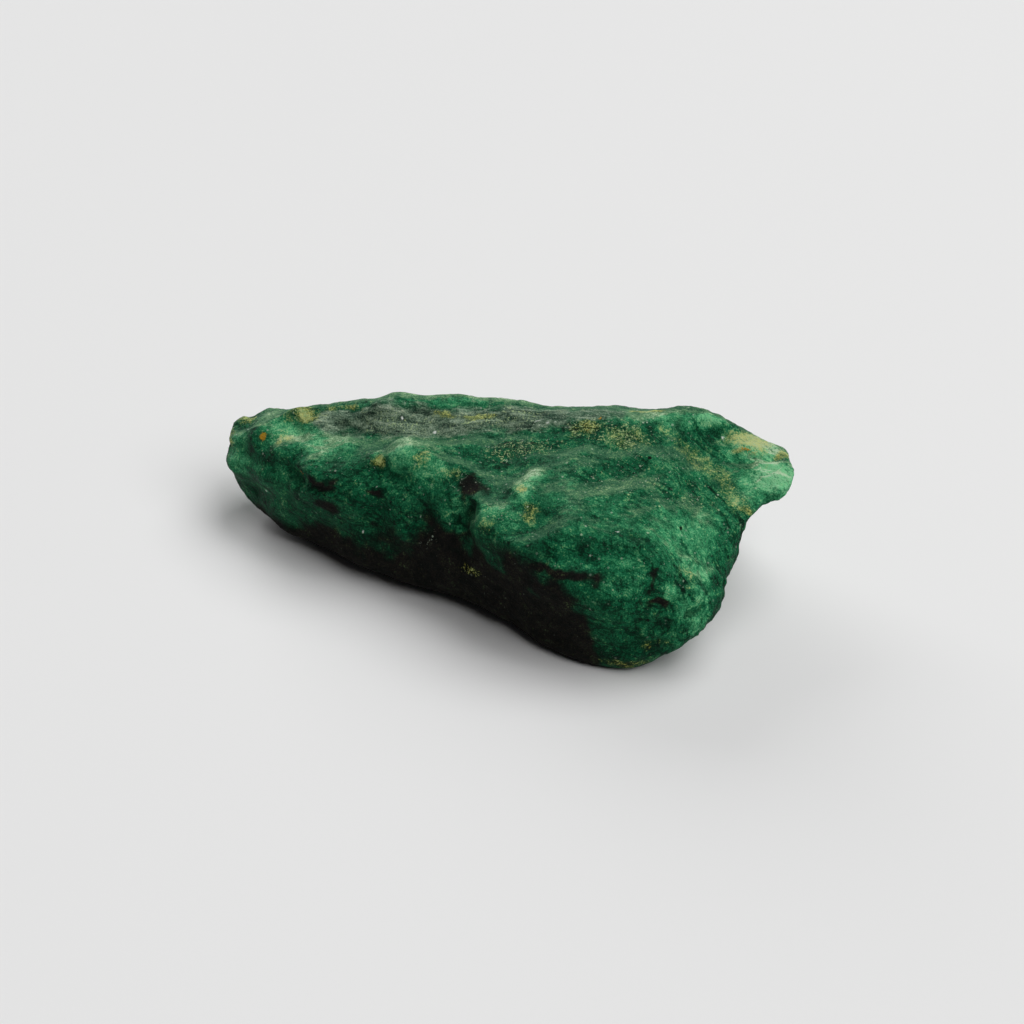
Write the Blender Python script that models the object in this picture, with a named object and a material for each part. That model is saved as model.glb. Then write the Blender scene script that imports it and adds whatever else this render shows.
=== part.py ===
"""Raw emerald crystal: one broken lump of green beryl with mica schist still grown into it.

The stone is a loft. Thirteen guide lines run along it from the round knob at the left end (-X) to the thin
tip at the right end (+X), and every cross-section is a closed smooth curve through them. Raised lumps,
chipped facets, bedding ledges and pits then shape the surface, and a flat cut makes the face that the stone
rests on.
The origin is at the bottom centre of the stone, with X along its length and Z up.
"""

import bmesh
import bpy
import numpy as np

# Driving dimensions, in millimetres.
STONE_LENGTH = 40.8
KNOB_CAP = 1.5          # how far the round end bulges past the first section
TIP_CAP = 0.7           # how far the tip runs past the last section
FIRST_SECTION = -19.6
LAST_SECTION = 19.4
RING_COUNT = 60         # sections along the stone
CAP_RINGS = 5           # rings that close each end
CAP_LAST = 0.02         # size of the last ring of a cap, as a share of its first
BASE_SNAP = 0.25        # points this near the resting plane are set on it before the cut

# Guide lines as (x, y, z) points in millimetres. The front (-Y) face stands almost upright.
BASE_FRONT = (
    (-19.6, 9.3, 2.2), (-18.7, 9.2, 1.2), (-17, 8.8, 0.2), (-15, 7.9, -0.3), (-9, 4.6, -0.4),
    (-2, 0.4, -0.4), (2, -3.4, -0.4), (6, -8.0, -0.5), (9.5, -7.6, -0.4), (12, -4.2, 0.4),
    (14.5, -0.9, 2.5), (17, 0.8, 5.6), (19.4, 1.0, 7.9),
)
FOOT = (
    (-19.6, 8.0, 2.5), (-18.7, 7.1, 1.6), (-17.7, 5.9, 1.4), (-16.7, 4.8, 1.2), (-14.1, 3.0, 1.1),
    (-10.9, 0.5, 1.1), (-7.2, -1.9, 1.1), (-3.2, -4.0, 1.1), (-0.1, -6.2, 1.0), (2.1, -8.4, 0.8),
    (4.9, -10.0, 0.4), (8.1, -10.7, 0.4), (10.4, -10.3, 1.2), (12.4, -9.1, 2.0), (14.2, -6.7, 3.3),
    (15.9, -3.6, 5.3), (17.4, -1.2, 6.9), (19.4, -0.4, 7.9),
)
BELLY = (
    (-19.6, 6.7, 3.8), (-18.7, 5.6, 3.5), (-17.4, 4.4, 3.5), (-14.1, 2.1, 3.9), (-10.9, -0.1, 4.3),
    (-7.2, -2.3, 4.5), (-3.2, -4.5, 4.6), (-0.1, -7.0, 4.6), (2.1, -9.0, 4.2), (4.9, -10.6, 4.0),
    (8.1, -11.3, 3.6), (10.8, -11.2, 2.9), (12.8, -10.6, 3.1), (14.3, -8.2, 4.0), (16.0, -4.6, 6.0),
    (17.8, -2.0, 7.3), (19.4, -1.0, 8.1),
)
SHOULDER = (
    (-19.6, 6.2, 5.2), (-18.7, 5.4, 5.2), (-17.2, 3.9, 5.4), (-14.1, 1.1, 6.3), (-10.9, -0.4, 7.0),
    (-7.2, -1.6, 7.6), (-3.2, -4.0, 7.8), (-0.9, -7.2, 7.9), (1.6, -9.3, 7.8), (4.9, -10.6, 7.3),
    (8.1, -11.4, 6.7), (10.5, -11.4, 5.8), (12.6, -10.8, 4.6), (14.3, -8.4, 4.5), (16.0, -4.9, 6.5),
    (17.8, -2.3, 7.6), (19.4, -1.2, 8.3),
)
CREASE = (
    (-19.6, 7.0, 6.5), (-18.7, 6.4, 6.8), (-17.2, 4.3, 7.2), (-14.7, 1.6, 7.9), (-11.5, 0.5, 8.5),
    (-8.7, 0.3, 9.0), (-4.8, -1.6, 9.6), (-2.6, -4.0, 9.6), (-0.6, -6.9, 9.5), (1.1, -8.3, 9.4),
    (3.4, -8.6, 9.8), (6.1, -8.5, 9.9), (8.8, -9.5, 9.2), (10.5, -9.9, 8.3), (12.4, -9.9, 7.0),
    (14.3, -8.2, 5.9), (16.1, -5.1, 7.1), (17.9, -2.5, 8.1), (19.4, -1.1, 8.7),
)
RIDGE = (
    (-19.6, 8.3, 7.7), (-18.7, 8.1, 8.4), (-17.7, 7.7, 9.1), (-16, 7.2, 10.0), (-12.8, 7.0, 10.5),
    (-9.5, 6.8, 10.8), (-5, 6.4, 11.1), (0, 5.7, 11.3), (3, 4.9, 11.3), (9.6, 4.7, 11.6),
    (13.5, 5.1, 11.4), (15.6, 4.1, 10.75), (17.5, 3.65, 10.4), (19.4, 2.6, 9.8),
)
BACK_SHOULDER = (
    (-19.6, 9.8, 7.1), (-18.7, 10.0, 7.6), (-17, 10.5, 8.1), (-12, 10.3, 8.2), (-5, 9.8, 8.9),
    (3, 8.8, 8.9), (10, 8.4, 8.8), (14, 7.0, 8.5), (17, 5.2, 8.9), (19.4, 3.1, 9.25),
)
BACK_BELLY = (
    (-19.6, 10.8, 5.3), (-18.7, 11.3, 5.3), (-17, 12.0, 5.2), (-12, 12.1, 5.2), (-4, 11.9, 5.7),
    (3, 11.2, 5.4), (9, 11.0, 5.2), (13, 9.8, 5.8), (16, 7.0, 7.2), (19.4, 3.2, 8.7),
)
BACK_FOOT = (
    (-19.6, 10.5, 3.6), (-18.7, 11.0, 3.1), (-17, 11.5, 2.3), (-11, 11.3, 1.7), (-3, 10.8, 1.6),
    (4, 10.2, 1.5), (9, 9.3, 1.7), (13, 7.6, 3.0), (16, 5.4, 5.5), (19.4, 2.2, 8.1),
)
BASE_BACK = (
    (-19.6, 10.0, 2.6), (-18.7, 10.3, 1.8), (-17, 10.2, 0.6), (-15, 9.8, -0.2), (-8, 8.6, -0.4),
    (0, 7.6, -0.4), (7, 6.4, -0.4), (11, 5.2, 0.1), (13.5, 3.6, 1.7), (16, 3.2, 4.6), (19.4, 1.6, 7.8),
)

# The top face lies between the crease and the ridge: (share of the way across, rise above the straight line).
TOP_FRONT = (0.16, 0.42)
TOP_MIDDLE = (0.50, 0.38)
TROUGH = (0.80, -0.02)

# Grid steps from each guide line to the next: from the base up the front, over the top and down the back.
STEPS_ROUND = (3, 5, 5, 4, 5, 8, 8, 5, 6, 6, 5, 3, 4)

# Lumps that stand out of the surface: centre, reach along x, y and z, and height, in millimetres.
LUMPS = (
    ((-6.6, 1.1, 10.0), (2.8, 2.0, 1.7), 0.95),      # the large pale lump on the crease
    ((-4.2, -0.4, 9.8), (1.7, 1.4, 1.2), 0.45),      # its right end
    ((-9.7, 1.5, 9.6), (0.9, 0.9, 0.9), 0.55),       # a small lump beside it
    ((1.0, -3.4, 10.6), (1.6, 1.8, 1.5), 0.55),      # the yellow-green lump in the middle of the top
    ((2.0, -2.0, 10.8), (1.1, 1.2, 1.2), 0.35),      # its upper lobe
    ((-2.4, -6.0, 8.4), (1.6, 1.7, 1.8), 0.45),      # a pale lump on the front edge
    ((-17.8, 6.2, 6.5), (2.6, 3.2, 3.4), 0.35),      # the knob
    ((9.6, -10.6, 6.4), (2.6, 1.8, 1.8), 0.35),      # the nose
    ((17.4, 2.6, 10.0), (2.3, 1.6, 1.2), 0.35),      # the upper lobe of the tip
)
# The raised layer along the back of the top: its x range, its y centre line and half width, and its height.
LAYER_X = (-11.4, 4.5)
LAYER_Y = 8.0
LAYER_HALF_WIDTH = 2.6
LAYER_HEIGHT = 0.5

# Hollows: centre, reach, and depth, in millimetres.
HOLLOWS = (
    ((-2.9, -3.4, 8.6), (1.1, 1.1, 1.2), 0.6),       # the dark notch in the crease
    ((-14.9, 2.2, 7.4), (0.8, 1.4, 0.8), 0.45),      # between the knob and the front face
    ((17.4, 1.5, 9.6), (1.7, 0.8, 0.9), 0.35),       # the groove between the two lobes of the tip
    ((20.0, 2.0, 9.1), (0.8, 0.7, 0.9), 0.25),       # its open end
    ((-15.2, 4.6, 9.1), (1.1, 3.6, 1.6), 0.28),      # the neck behind the knob
    ((5.0, -9.4, 8.6), (4.5, 0.5, 0.7), 0.3),        # the crack under the crease
    ((9.3, -10.9, 6.9), (0.6, 0.7, 1.5), 0.4),       # the vein in the nose
    ((-8.0, 4.3, 10.6), (4.0, 0.9, 0.9), 0.35),      # the schist band in front of the raised layer
)

# Bedding ledges on the back and along the schist band: sloping treads with a sharp drop between them.
LEDGE_FACING = (0.04, 0.42, 0.91)
LEDGE_SPACING = 2.5
LEDGE_HEIGHT = 0.34
LEDGE_FROM_Y = (1.5, 5.0)

# Small round pits, scattered by a fixed seed: how many, their reach and their depth.
PIT_SEED = 3
PIT_COUNT = 26
PIT_REACH = (0.7, 1.3)
PIT_DEPTH = 0.3

# Random relief over the whole stone: (height, size of the bumps, seed).
ROUGHNESS = ((0.22, 5.0, 11), (0.16, 2.3, 12), (0.10, 1.1, 13))
# Small broken facets, scattered by a fixed seed: how many, their reach and depth, and how far they lean.
CHIP_SEED = 5
CHIP_COUNT = 150
CHIP_REACH = (1.6, 4.2)
CHIP_DEPTH = (0.02, 0.22)
CHIP_TILT = 0.2
# The large flat breaks on the back and the underside: a point on the face, its outward direction, its reach.
BROKEN_FACES = (
    ((-9.0, 11.2, 6.0), (-0.12, 0.93, 0.35), 9.0),
    ((5.0, 10.3, 6.0), (0.14, 0.96, 0.22), 8.5),
    ((-1.0, 8.9, 10.0), (0.05, 0.62, 0.78), 7.0),
    ((-19.2, 11.3, 4.5), (-0.66, 0.68, -0.3), 4.5),
    ((14.0, 8.2, 6.6), (0.62, 0.72, -0.1), 5.5),
)


def unit(vector):
    """The vector at length one."""
    vector = np.asarray(vector, dtype=float)
    return vector / np.linalg.norm(vector, axis=-1, keepdims=True)


def smooth_step(value):
    """Rises from 0 to 1 with flat ends."""
    value = np.clip(value, 0.0, 1.0)
    return value * value * (3.0 - 2.0 * value)


def follow(guide, stations):
    """The guide line's y and z at each x station, by cubic Hermite pieces with averaged slopes."""
    knots = np.asarray(guide, dtype=float)
    x, values = knots[:, 0], knots[:, 1:]
    slopes = np.gradient(values, x, axis=0)
    piece = np.clip(np.searchsorted(x, stations, side="right") - 1, 0, len(x) - 2)
    width = x[piece + 1] - x[piece]
    t = np.clip((stations - x[piece]) / width, 0.0, 1.0)[:, None]
    width = width[:, None]
    start = (1 + 2 * t) * (1 - t) ** 2 * values[piece] + t * (1 - t) ** 2 * width * slopes[piece]
    end = t * t * (3 - 2 * t) * values[piece + 1] - t * t * (1 - t) * width * slopes[piece + 1]
    return start + end


def between(front, back, placing):
    """A guide line on the top face, a share of the way from the crease to the ridge."""
    share, rise = placing
    line = front * (1.0 - share) + back * share
    line[:, 1] += rise
    return line


def closed_curve(corners):
    """Catmull-Rom curve round each section, with STEPS_ROUND points from one guide line to the next."""
    count = len(STEPS_ROUND)
    before, after = np.roll(corners, 1, axis=1), np.roll(corners, -1, axis=1)
    tangents = 0.5 * (after - before)
    parts = []
    for side, steps in enumerate(STEPS_ROUND):
        t = (np.arange(steps) / steps)[None, :, None]
        here, there = corners[:, side, None], corners[:, (side + 1) % count, None]
        leave, arrive = tangents[:, side, None], tangents[:, (side + 1) % count, None]
        parts.append((2 * t**3 - 3 * t**2 + 1) * here + (t**3 - 2 * t**2 + t) * leave
                     + (3 * t**2 - 2 * t**3) * there + (t**3 - t**2) * arrive)
    return np.concatenate(parts, axis=1)


def loft():
    """The rings of the stone, as an array of (ring, point round, xyz), with both ends closed in."""
    stations = np.linspace(FIRST_SECTION, LAST_SECTION, RING_COUNT)
    crease, ridge = follow(CREASE, stations), follow(RIDGE, stations)
    lines = [follow(guide, stations) for guide in (BASE_FRONT, FOOT, BELLY, SHOULDER)] + [crease]
    lines += [between(crease, ridge, placing) for placing in (TOP_FRONT, TOP_MIDDLE, TROUGH)] + [ridge]
    lines += [follow(guide, stations) for guide in (BACK_SHOULDER, BACK_BELLY, BACK_FOOT, BASE_BACK)]
    section = closed_curve(np.stack(lines, axis=1))
    x = np.broadcast_to(stations[:, None, None], section.shape[:2] + (1,))
    rings = np.concatenate([x, section], axis=2)
    return np.concatenate([cap(rings[0], -KNOB_CAP)[::-1], rings, cap(rings[-1], TIP_CAP)])


def cap(ring, bulge):
    """Rings that shrink to a point along a quarter ellipse."""
    centre = ring.mean(axis=0)
    angles = np.linspace(0.0, np.pi / 2, CAP_RINGS + 1)[1:]
    rings = [centre + (ring - centre) * max(np.cos(a), CAP_LAST) for a in angles]
    for shrunk, a in zip(rings, angles):
        shrunk[:, 0] += bulge * np.sin(a)
    return np.stack(rings)


def outward(rings):
    """Unit normals of the ring grid, pointing out of the stone."""
    along = np.gradient(rings, axis=0)
    round_ = np.roll(rings, -1, axis=1) - np.roll(rings, 1, axis=1)
    normals = np.cross(round_, along)
    size = np.linalg.norm(normals, axis=2, keepdims=True)
    normals = normals / np.maximum(size, 1e-9)
    outside = np.sum(normals * (rings - rings.mean(axis=1, keepdims=True)))
    return normals if outside > 0 else -normals


def lattice_noise(points, cell, seed):
    """Smooth noise from -1 to 1: random values at the corners of cubes, blended across each cube."""
    size = 32
    table = np.random.default_rng(seed).uniform(-1.0, 1.0, (size, size, size))
    scaled = points / cell
    low = np.floor(scaled).astype(int)
    part = scaled - low
    part = part**3 * (part * (part * 6 - 15) + 10)
    total = np.zeros(points.shape[:-1])
    for corner in np.ndindex(2, 2, 2):
        weight = np.prod(np.where(corner, part, 1.0 - part), axis=-1)
        index = (low + corner) % size
        total += weight * table[index[..., 0], index[..., 1], index[..., 2]]
    return total


def dome(points, centre, reach):
    """1 at the centre, falling to 0 on the ellipsoid of the given reach, with a flat crown."""
    distance = np.linalg.norm((points - np.asarray(centre)) / np.asarray(reach), axis=-1)
    return smooth_step((1.0 - distance) * 2.0)


def facets(points, normals):
    """Broken facets: near each site, whatever stands above its tilted plane drops onto the plane."""
    source = np.random.default_rng(CHIP_SEED)
    flat_points = points.reshape(-1, 3)
    flat_normals = normals.reshape(-1, 3)
    sites = source.integers(0, len(flat_points), CHIP_COUNT)
    tilts = source.normal(0.0, CHIP_TILT, (CHIP_COUNT, 3))
    reaches = source.uniform(*CHIP_REACH, CHIP_COUNT)
    depths = source.uniform(*CHIP_DEPTH, CHIP_COUNT)
    result = flat_points.copy()
    for site, tilt, reach, depth in zip(sites, tilts, reaches, depths):
        knock(result, flat_points[site] - depth * flat_normals[site], unit(flat_normals[site] + tilt), reach)
    for centre, facing, reach in BROKEN_FACES:
        knock(result, np.asarray(centre, dtype=float), unit(facing), reach)
    return result.reshape(points.shape)


def knock(points, centre, facing, reach):
    """Moves the points above one plane down to it, fully near the centre and not at all past the reach."""
    distance = np.linalg.norm(points - centre, axis=1)
    above = np.clip((points - centre) @ facing, 0.0, None) * smooth_step((1.0 - distance / reach) * 2.5)
    points -= above[:, None] * facing


def raised_layer(points):
    """Height of the strip along the back of the top: steep at its left end and front, fading to the right."""
    x, y, z = points[..., 0], points[..., 1], points[..., 2]
    start = smooth_step((x - LAYER_X[0]) / 1.7)
    fade = smooth_step((LAYER_X[1] - x) / 5.0)
    across = smooth_step((1.0 - np.abs(y - LAYER_Y) / LAYER_HALF_WIDTH) * 1.8)
    return LAYER_HEIGHT * start * fade * across * smooth_step((z - 9.0) / 1.5)


def ledges(points):
    """Height of the bedding ledges: a saw-toothed profile across the layers, on the back only."""
    layer = points @ unit(LEDGE_FACING) / LEDGE_SPACING + 0.35 * lattice_noise(points, 4.0, 21)
    tread = layer - np.floor(layer)
    profile = tread - smooth_step((tread - 0.8) / 0.2)
    return LEDGE_HEIGHT * (profile - 0.4) * smooth_step(np.interp(points[..., 1], LEDGE_FROM_Y, (0.0, 1.0)))


def pits(points):
    """Depth of the small pits, taken from points of the surface itself."""
    source = np.random.default_rng(PIT_SEED)
    sites = points.reshape(-1, 3)[source.integers(0, points.size // 3, PIT_COUNT)]
    reaches = source.uniform(*PIT_REACH, PIT_COUNT)
    return PIT_DEPTH * np.max([dome(points, site, reach) for site, reach in zip(sites, reaches)], axis=0)


def shape_surface(rings):
    """The random relief and the broken facets first, then the ledges, pits, layer, lumps and hollows."""
    normals = outward(rings)
    rough = sum(height * lattice_noise(rings, cell, seed) for height, cell, seed in ROUGHNESS)
    calm = smooth_step((rings[..., 2] - 0.2) / 1.6)[..., None]
    bumpy = rings + normals * rough[..., None]
    broken = rings * (1.0 - calm) + facets(bumpy, normals) * calm
    lift = raised_layer(broken) + (ledges(broken) - pits(broken)) * calm[..., 0]
    for centre, reach, height in LUMPS:
        lift = lift + height * dome(broken, centre, reach)
    for centre, reach, depth in HOLLOWS:
        lift = lift - depth * dome(broken, centre, reach)
    return broken + normals * lift[..., None]


def build_mesh(rings):
    """A closed quad mesh over the rings, with a point at each end."""
    count, around = rings.shape[:2]
    mesh = bmesh.new()
    grid = [[mesh.verts.new(point) for point in ring] for ring in rings]
    for ring, following in zip(grid, grid[1:]):
        for j in range(around):
            k = (j + 1) % around
            mesh.faces.new((ring[j], ring[k], following[k], following[j]))
    for ring, flip in ((grid[0], True), (grid[-1], False)):
        pole = mesh.verts.new(np.mean([vert.co for vert in ring], axis=0))
        for j in range(around):
            k = (j + 1) % around
            mesh.faces.new((ring[k], ring[j], pole) if flip else (ring[j], ring[k], pole))
    bmesh.ops.recalc_face_normals(mesh, faces=mesh.faces)
    return mesh


def cut_base(mesh):
    """Cuts the stone flat at z = 0 and closes the cut with one face."""
    for vert in mesh.verts:
        if abs(vert.co.z) < BASE_SNAP:
            vert.co.z = 0.0
    geometry = mesh.verts[:] + mesh.edges[:] + mesh.faces[:]
    bmesh.ops.bisect_plane(
        mesh, geom=geometry, dist=1e-4, plane_co=(0, 0, 0), plane_no=(0, 0, -1), clear_outer=True
    )
    rim = [edge for edge in mesh.edges if edge.is_boundary]
    bmesh.ops.holes_fill(mesh, edges=rim, sides=0)
    bmesh.ops.recalc_face_normals(mesh, faces=mesh.faces)


def emerald_material():
    """Mid green stone, dull, not metallic."""
    material = bpy.data.materials.new("rough_emerald")
    material.use_nodes = True
    shader = material.node_tree.nodes["Principled BSDF"]
    shader.inputs["Base Color"].default_value = (0.035, 0.17, 0.095, 1.0)
    shader.inputs["Roughness"].default_value = 0.55
    shader.inputs["Metallic"].default_value = 0.0
    return material


def main():
    for leftover in list(bpy.data.objects):
        bpy.data.objects.remove(leftover, do_unlink=True)
    mesh = build_mesh(shape_surface(loft()))
    cut_base(mesh)
    points = np.array([vert.co for vert in mesh.verts])
    low, high = points.min(axis=0), points.max(axis=0)
    scale = 0.001 * STONE_LENGTH / (high[0] - low[0])
    middle = np.array([(low[0] + high[0]) / 2, (low[1] + high[1]) / 2, 0.0])
    for vert, point in zip(mesh.verts, points):
        vert.co = (point - middle) * scale
    data = bpy.data.meshes.new("emerald_rough")
    mesh.to_mesh(data)
    mesh.free()
    data.materials.append(emerald_material())
    stone = bpy.data.objects.new("emerald_rough", data)
    collection = bpy.data.collections.new("raw_emerald_crystal")
    bpy.context.scene.collection.children.link(collection)
    collection.objects.link(stone)


main()
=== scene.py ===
"""Raw emerald crystal: the fine surface, the finish and the studio.

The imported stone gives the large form. A spindle inside it is blown out onto that form, spread evenly, and then
carries everything that is too fine for the solid: bedding, lumps, bowls, pits and the grain of the crystal. The
same places that shape the relief also say where the pale beryl, the mica schist and the iron stain lie.
"""

import itertools
import math

import bpy
import numpy as np
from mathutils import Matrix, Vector


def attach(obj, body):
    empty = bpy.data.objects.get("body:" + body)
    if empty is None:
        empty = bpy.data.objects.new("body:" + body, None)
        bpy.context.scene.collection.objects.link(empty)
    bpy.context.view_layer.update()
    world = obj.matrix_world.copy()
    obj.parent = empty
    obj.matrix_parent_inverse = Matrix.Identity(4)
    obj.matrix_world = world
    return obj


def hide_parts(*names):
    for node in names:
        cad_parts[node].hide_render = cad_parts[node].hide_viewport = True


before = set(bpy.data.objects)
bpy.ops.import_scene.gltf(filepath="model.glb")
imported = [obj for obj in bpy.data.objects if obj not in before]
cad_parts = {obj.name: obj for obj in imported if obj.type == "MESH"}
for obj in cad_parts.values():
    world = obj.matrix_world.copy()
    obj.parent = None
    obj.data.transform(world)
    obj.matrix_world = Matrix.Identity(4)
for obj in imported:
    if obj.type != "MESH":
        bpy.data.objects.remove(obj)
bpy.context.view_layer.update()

MM = 0.001

# ---------------------------------------------------------------------------------------------------------------
# Sizes of the stone's surface, in millimetres
# ---------------------------------------------------------------------------------------------------------------

RINGS = 300             # rings of the finished surface, from the knob to the tip
STEPS = 320             # points round each ring
SPINDLE_RINGS = 460
SPINDLE_STEPS = 640
SPINDLE_END = 19.3      # the spindle's ends on X
SPINDLE_BLUNTNESS = 8   # how square the spindle's ends are
START_ANGLE = -0.9      # where each ring starts: low on the back
UNDERSIDE = 0.35        # share of the points that the resting face gets, against the rest
UNDERSIDE_TOP = 0.6     # height over which that share ends
EASING = 11             # passes that ease the solid's facets
FOOT = 0.7              # height below which the relief dies away towards the resting face

# Rolling ground: size of its bumps, their height, what chips add to the height, and the noise's seed.
ROLLING = ((3.0, 0.035, 0.0, 1), (1.4, 0.026, 0.04, 2), (0.7, 0.036, 0.06, 3), (0.36, 0.036, 0.06, 4))
# Bowls of a shelly break: size, depth, mean level, and the seed.
SHELLS = ((1.9, 0.12, 0.25, 5), (0.8, 0.24, 0.12, 6))
SHELL_LEAN = 0.35
SHELL_PLAIN = 0.30      # share of the bowls' depth on plain ground
SHELL_CHIPPED = 1.2     # what chips add to that share
BED = 0.8               # thickness of a bed
BED_STEP = 0.02         # height of a bed's edge
SCHIST_STEP = 0.09      # what schist adds to that height
TURN_X = 9.0            # past this x the beds turn towards the front
TURN_WIDTH = 1.5        # how gently they begin to
TURN_ACROSS = 0.95      # how far across and back along the stone a bed goes for each millimetre past it
TURN_BACK = 0.3
BED_SKEW = 0.12         # how far the beds lie askew to the stone, and how steeply they dip
BED_DIP = 0.25
FAR_BUMPS = 1.4         # sizes of the noise that makes borders wander, far and near
NEAR_BUMPS = 0.5
LUMP_WANDER = (0.35, 0.14)      # how far the noise moves the edges of lumps, and the borders of colours
COLOUR_WANDER = (0.45, 0.18)
PROUD_PASSES = 30       # passes of easing against which a point stands out, in relief and in form
HOLLOW_PASSES = 40
FRONT_BORDER = 4.0      # how wide the schist's upper edge on the front fades out

DRAWS = 4096            # length of each table of random draws
CELL_PRIMES = np.array((73856093, 19349663, 83492791))
NOISE_GAIN = 1.7        # brings lattice noise to about -1 to 1

# The spindle: x, y and z of the stone's middle, and half the spindle's width and height there.
SPINE = (
    (-19.3, 8.5, 5.2, 0.7, 0.7), (-18.0, 8.1, 5.0, 1.6, 1.3), (-16.0, 7.2, 4.9, 2.4, 1.8),
    (-12.0, 5.8, 5.0, 3.2, 2.0), (-8.0, 4.8, 5.3, 3.8, 2.2), (-4.0, 3.6, 5.4, 4.4, 2.3),
    (0.0, 1.6, 5.4, 5.4, 2.4), (4.0, 0.1, 5.6, 6.2, 2.5), (8.0, -0.7, 5.7, 6.4, 2.5),
    (11.0, -0.8, 6.0, 6.0, 2.2), (14.0, -0.9, 6.9, 4.2, 1.5), (16.0, 0.2, 7.7, 2.8, 1.0),
    (18.0, 1.0, 8.3, 1.6, 0.7), (19.3, 1.0, 8.7, 0.9, 0.4),
)

# ---------------------------------------------------------------------------------------------------------------
# Where things lie, in millimetres: x, y and z, the reach in x, y and z, and the strength
# ---------------------------------------------------------------------------------------------------------------

# Pale beryl. Some spots, on the knob's front and on the lump left of the middle, are paler also as painted
# light: the glow of light shining through thin crystal.
PALE_BERYL = (
    (-7.0, 0.4, 10.5, 1.7, 1.7, 1.2, 0.9), (-5.2, -0.8, 10.3, 1.7, 1.3, 1.0, 0.9),
    (-8.9, 1.4, 9.7, 0.7, 0.8, 0.7, 0.9), (-3.2, -3.3, 8.8, 0.7, 0.6, 0.8, 0.7),
    (-3.0, -4.2, 7.3, 0.7, 0.5, 0.5, 0.5), (-0.6, -5.9, 9.5, 2.2, 1.5, 1.1, 0.7),
    (1.1, -4.4, 10.8, 1.3, 1.3, 1.2, 1.0), (2.0, -2.5, 10.8, 1.0, 1.1, 0.9, 0.95),
    (17.6, 2.4, 9.9, 2.6, 1.8, 1.5, 1.0), (18.9, -0.6, 8.9, 2.6, 1.9, 1.7, 1.0),
    (13.3, -10.6, 4.3, 1.1, 1.0, 1.1, 0.9), (12.4, -10.6, 5.4, 1.2, 1.2, 1.0, 0.85),
    (13.0, -8.6, 7.4, 1.6, 1.8, 1.4, 0.8), (13.6, -5.9, 8.3, 2.2, 2.8, 1.4, 0.5),
    (-2.0, 8.4, 10.9, 9.0, 2.4, 1.6, 0.85), (-17.4, 7.6, 8.6, 1.8, 1.6, 0.9, 0.55),
    (-15.6, 6.0, 8.9, 2.2, 1.8, 1.3, 0.9), (-12.8, 3.9, 9.4, 2.2, 1.7, 1.2, 0.8),
    (-19.2, 6.6, 6.2, 1.3, 1.5, 1.6, 0.85), (10.9, -11.3, 3.0, 1.2, 0.8, 0.7, 0.5),
    (-17.2, 4.5, 4.5, 0.5, 0.5, 0.4, 0.6), (4.0, -6.2, 10.2, 0.4, 0.4, 0.4, 0.6),
    (-0.4, -5.5, 9.6, 0.4, 0.4, 0.4, 0.7), (4.2, -4.6, 10.6, 3.6, 2.0, 1.0, 0.35),
    (11.4, -7.0, 9.1, 2.4, 2.2, 1.2, 0.75), (11.0, 9.0, 8.0, 3.0, 2.0, 2.5, 0.7),
    (-8.0, 12.0, 4.5, 3.5, 1.5, 2.0, 0.7), (3.0, 11.0, 5.0, 2.0, 1.5, 2.5, 0.6),
    (14.3, 3.7, 11.0, 1.3, 0.9, 0.7, 1.0), (10.5, 4.0, 11.5, 2.5, 1.0, 0.5, 0.7),
    (11.1, -10.9, 6.9, 0.8, 0.8, 0.7, 0.8), (-14.6, 6.5, 9.9, 1.0, 0.8, 0.5, 1.0),
    (14.2, 0.2, 9.6, 1.2, 1.6, 0.8, 0.5), (13.6, -10.0, 6.0, 0.8, 1.0, 0.8, 0.9),
    (12.2, 3.2, 11.0, 2.0, 1.6, 0.8, 0.6), (8.6, 1.8, 11.0, 2.2, 1.4, 0.6, 0.25),
    (16.6, -2.4, 8.8, 1.2, 1.2, 0.8, 0.6), (19.8, -0.5, 8.7, 1.6, 1.6, 1.2, 1.0),
    (11.6, -10.9, 7.6, 0.8, 0.6, 0.5, 0.8), (7.4, -9.9, 8.6, 2.2, 0.5, 0.5, 0.5),
)
CLEAR_CRYSTAL = (
    (-9.2, -1.2, 6.9, 3.4, 1.6, 1.8, 1.0), (-6.4, -2.4, 6.4, 1.5, 1.2, 1.2, 0.9),
    (-12.6, 0.6, 6.7, 1.4, 1.2, 1.2, 0.9), (0.9, 0.9, 10.7, 3.0, 1.1, 0.8, 1.0),
    (-14.5, 2.9, 8.4, 1.2, 0.9, 0.8, 0.9), (10.9, -3.6, 10.0, 0.8, 0.5, 0.5, 0.8),
    (14.3, 3.7, 11.0, 1.2, 0.8, 0.6, 1.0), (-17.8, 4.9, 6.6, 2.0, 1.7, 2.2, 0.95),
    (8.2, -11.5, 5.8, 1.8, 1.2, 2.0, 0.9), (8.6, -11.5, 2.2, 2.4, 1.2, 1.4, 0.85),
    (-16.5, 4.3, 4.6, 1.8, 1.4, 1.6, 0.85), (7.0, 11.0, 5.5, 3.0, 1.6, 2.0, 0.9),
    (-14.0, 12.0, 5.0, 2.5, 1.5, 2.2, 0.9), (16.0, 6.5, 7.5, 1.6, 1.5, 1.0, 0.8),
    (-2.0, 11.5, 8.0, 2.5, 1.2, 1.0, 0.8), (12.0, -10.5, 5.6, 2.2, 1.8, 2.4, 0.7),
    (-19.2, 6.6, 6.0, 1.3, 1.5, 1.6, 0.9), (-3.0, -2.6, 8.6, 0.9, 0.9, 1.0, 0.6),
    (0.5, -7.0, 9.0, 2.4, 0.8, 0.8, 0.6),
)
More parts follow.
